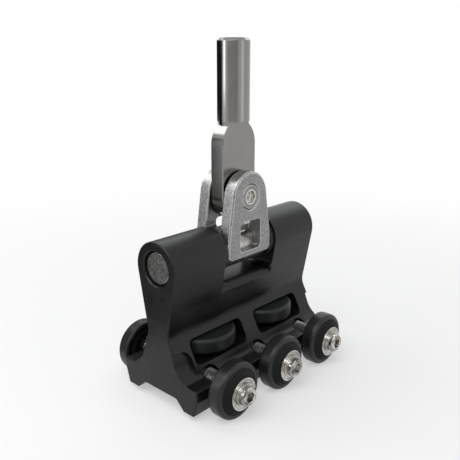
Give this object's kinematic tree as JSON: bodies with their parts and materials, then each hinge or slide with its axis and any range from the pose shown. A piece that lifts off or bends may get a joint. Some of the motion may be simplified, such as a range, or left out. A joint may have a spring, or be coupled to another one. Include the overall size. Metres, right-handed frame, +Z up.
{
  "type": "batten car",
  "caption": "Ball-bearing mast track car with side wheels, guide rollers and a two-way toggle that carries a round stud for a sail batten.",
  "frame": {"origin": "middle of the car on the surface that its wheels stand on", "axes": "+X along the track, +Z up along the stud, +Y to the left side, away from the cross pin's head"},
  "size_m": [0.0664, 0.0544, 0.1076],
  "materials": {
    "anodised": "satin black anodised",
    "steel": "fine ground stainless",
    "polished": "bright",
    "wheel_plastic": "satin",
    "roller_plastic": "satin",
    "washer_plastic": "matt"
  },
  "bodies": {
    "car": {"car_body": "anodised", "main_pin": "steel", "thrust_washer_aft": "washer_plastic", "roller_axle_aft": "steel", "thrust_washer_fore": "washer_plastic", "roller_axle_fore": "steel", "axle_screw_right_aft": "polished", "bearing_inner_right_aft": "polished", "retaining_ring_right_aft": "polished", "axle_screw_right_mid": "polished", "bearing_inner_right_mid": "polished", "retaining_ring_right_mid": "polished", "axle_screw_right_fore": "polished", "bearing_inner_right_fore": "polished", "retaining_ring_right_fore": "polished", "axle_screw_left_aft": "polished", "bearing_inner_left_aft": "polished", "retaining_ring_left_aft": "polished", "axle_screw_left_mid": "polished", "bearing_inner_left_mid": "polished", "retaining_ring_left_mid": "polished", "axle_screw_left_fore": "polished", "bearing_inner_left_fore": "polished", "retaining_ring_left_fore": "polished"},
    "toggle": {"toggle": "steel", "cross_pin": "polished"},
    "stud": {"batten_stud": "steel"},
    "rail_wheel_right_aft": {"wheel_right_aft": "wheel_plastic", "bearing_outer_right_aft": "polished"},
    "rail_wheel_right_mid": {"wheel_right_mid": "wheel_plastic", "bearing_outer_right_mid": "polished"},
    "rail_wheel_right_fore": {"wheel_right_fore": "wheel_plastic", "bearing_outer_right_fore": "polished"},
    "rail_wheel_left_aft": {"wheel_left_aft": "wheel_plastic", "bearing_outer_left_aft": "polished"},
    "rail_wheel_left_mid": {"wheel_left_mid": "wheel_plastic", "bearing_outer_left_mid": "polished"},
    "rail_wheel_left_fore": {"wheel_left_fore": "wheel_plastic", "bearing_outer_left_fore": "polished"},
    "roller_aft": {"guide_roller_aft": "roller_plastic"},
    "roller_fore": {"guide_roller_fore": "roller_plastic"}
  },
  "joints": [
    {"name": "toggle_swing", "type": "hinge", "parent": "car", "child": "toggle", "pos_m": [0, 0, 0.0439], "axis": [1, 0, 0], "range_deg": [-90, 90]},
    {"name": "stud_tilt", "type": "hinge", "parent": "toggle", "child": "stud", "pos_m": [0, 0, 0.06057], "axis": [0, 1, 0], "range_deg": [-90, 90]},
    {"name": "wheel_spin_right_aft", "type": "hinge", "parent": "car", "child": "rail_wheel_right_aft", "pos_m": [-0.0224, -0.0232, 0.0088], "axis": [0, 1, 0], "continuous": true},
    {"name": "wheel_spin_right_mid", "type": "hinge", "parent": "car", "child": "rail_wheel_right_mid", "pos_m": [0, -0.0232, 0.0088], "axis": [0, 1, 0], "continuous": true},
    {"name": "wheel_spin_right_fore", "type": "hinge", "parent": "car", "child": "rail_wheel_right_fore", "pos_m": [0.0224, -0.0232, 0.0088], "axis": [0, 1, 0], "continuous": true},
    {"name": "wheel_spin_left_aft", "type": "hinge", "parent": "car", "child": "rail_wheel_left_aft", "pos_m": [-0.0224, 0.0232, 0.0088], "axis": [0, 1, 0], "continuous": true},
    {"name": "wheel_spin_left_mid", "type": "hinge", "parent": "car", "child": "rail_wheel_left_mid", "pos_m": [0, 0.0232, 0.0088], "axis": [0, 1, 0], "continuous": true},
    {"name": "wheel_spin_left_fore", "type": "hinge", "parent": "car", "child": "rail_wheel_left_fore", "pos_m": [0.0224, 0.0232, 0.0088], "axis": [0, 1, 0], "continuous": true},
    {"name": "roller_spin_aft", "type": "hinge", "parent": "car", "child": "roller_aft", "pos_m": [-0.0146, 0, 0.01695], "axis": [0, 0, 1], "continuous": true},
    {"name": "roller_spin_fore", "type": "hinge", "parent": "car", "child": "roller_fore", "pos_m": [0.0146, 0, 0.01695], "axis": [0, 0, 1], "continuous": true}
  ]
}
